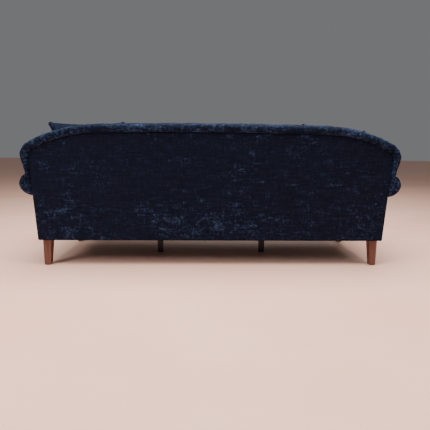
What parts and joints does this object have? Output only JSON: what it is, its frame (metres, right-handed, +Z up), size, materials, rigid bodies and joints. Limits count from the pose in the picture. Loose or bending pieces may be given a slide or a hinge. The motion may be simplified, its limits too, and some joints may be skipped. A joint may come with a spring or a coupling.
{
  "type": "sofa",
  "caption": "Long velvet sofa with scroll arms, an arched back with a rolled edge, tapered square wooden legs and loose seat, back and scatter cushions.",
  "frame": {"origin": "on the floor under the middle of the sofa's box", "axes": "+Z up, -Y towards the front where the sitter's feet go, +X to the sitter's left along the sofa's length"},
  "size_m": [2.384, 0.9201, 0.9309],
  "materials": {
    "velvet": "matte",
    "frame_timber": "matte",
    "spring_steel": "satin",
    "zinc_plate": "satin",
    "webbing": "matte",
    "platform_cloth": "matte",
    "dust_cloth": "matte",
    "leg_wood": "satin",
    "glide_plastic": "matte",
    "support_black": "satin",
    "foam": "matte",
    "feather_pad": "matte"
  },
  "bodies": {
    "frame": {"arm_board_front_left": "frame_timber", "arm_board_front_right": "frame_timber", "arm_board_rear_left": "frame_timber", "arm_board_rear_right": "frame_timber", "arm_facing_left": "velvet", "arm_facing_right": "velvet", "arm_pad_left": "velvet", "arm_pad_right": "velvet", "arm_rear_cap_left": "velvet", "arm_rear_cap_right": "velvet", "arm_top_rail_left": "frame_timber", "arm_top_rail_right": "frame_timber", "back_mid_posts": "frame_timber", "back_post_left": "frame_timber", "back_post_right": "frame_timber", "back_seat_rail": "frame_timber", "back_top_rail": "frame_timber", "back_top_roll": "velvet", "back_webbing": "webbing", "centre_support_left": "support_black", "centre_support_right": "support_black", "corner_blocks": "frame_timber", "cross_rails": "frame_timber", "dust_cover": "dust_cloth", "front_seat_rail": "frame_timber", "inside_back_pad": "velvet", "leg_back_left": "leg_wood", "leg_back_right": "leg_wood", "leg_bolts": "zinc_plate", "leg_front_left": "leg_wood", "leg_front_right": "leg_wood", "leg_glides": "glide_plastic", "leg_t_nuts": "zinc_plate", "outside_arm_left": "velvet", "outside_arm_right": "velvet", "outside_back_panel": "velvet", "seat_front_border": "velvet", "seat_platform": "platform_cloth", "seat_springs": "spring_steel", "side_rail_left": "frame_timber", "side_rail_right": "frame_timber", "spring_clips": "zinc_plate"},
    "seat_cushion_left": {"seat_cushion_cover_left": "velvet", "seat_cushion_core_left": "foam"},
    "back_cushion_left": {"back_cushion_cover_left": "velvet", "back_cushion_filling_left": "feather_pad"},
    "seat_cushion_centre": {"seat_cushion_cover_centre": "velvet", "seat_cushion_core_centre": "foam"},
    "back_cushion_centre": {"back_cushion_cover_centre": "velvet", "back_cushion_filling_centre": "feather_pad"},
    "seat_cushion_right": {"seat_cushion_cover_right": "velvet", "seat_cushion_core_right": "foam"},
    "back_cushion_right": {"back_cushion_cover_right": "velvet", "back_cushion_filling_right": "feather_pad"},
    "scatter_cushion_left": {"scatter_cover_left": "velvet", "scatter_pad_left": "feather_pad"},
    "scatter_cushion_right": {"scatter_cover_right": "velvet", "scatter_pad_right": "feather_pad"}
  },
  "joints": [
    {"name": "seat_cushion_left_pull", "type": "slide", "parent": "frame", "child": "seat_cushion_left", "axis": [0, -1, 0], "range_m": [0, 0.62]},
    {"name": "back_cushion_left_lift", "type": "slide", "parent": "frame", "child": "back_cushion_left", "axis": [0, 0.1132, 0.9936], "range_m": [0, 0.42]},
    {"name": "seat_cushion_centre_pull", "type": "slide", "parent": "frame", "child": "seat_cushion_centre", "axis": [0, -1, 0], "range_m": [0, 0.62]},
    {"name": "back_cushion_centre_lift", "type": "slide", "parent": "frame", "child": "back_cushion_centre", "axis": [0, 0.1132, 0.9936], "range_m": [0, 0.42]},
    {"name": "seat_cushion_right_pull", "type": "slide", "parent": "frame", "child": "seat_cushion_right", "axis": [0, -1, 0], "range_m": [0, 0.62]},
    {"name": "back_cushion_right_lift", "type": "slide", "parent": "frame", "child": "back_cushion_right", "axis": [0, 0.1132, 0.9936], "range_m": [0, 0.42]},
    {"name": "scatter_cushion_left_lift", "type": "slide", "parent": "frame", "child": "scatter_cushion_left", "axis": [0, 0.1132, 0.9936], "range_m": [0, 0.46]},
    {"name": "scatter_cushion_right_lift", "type": "slide", "parent": "frame", "child": "scatter_cushion_right", "axis": [0, 0.1132, 0.9936], "range_m": [0, 0.46]}
  ]
}
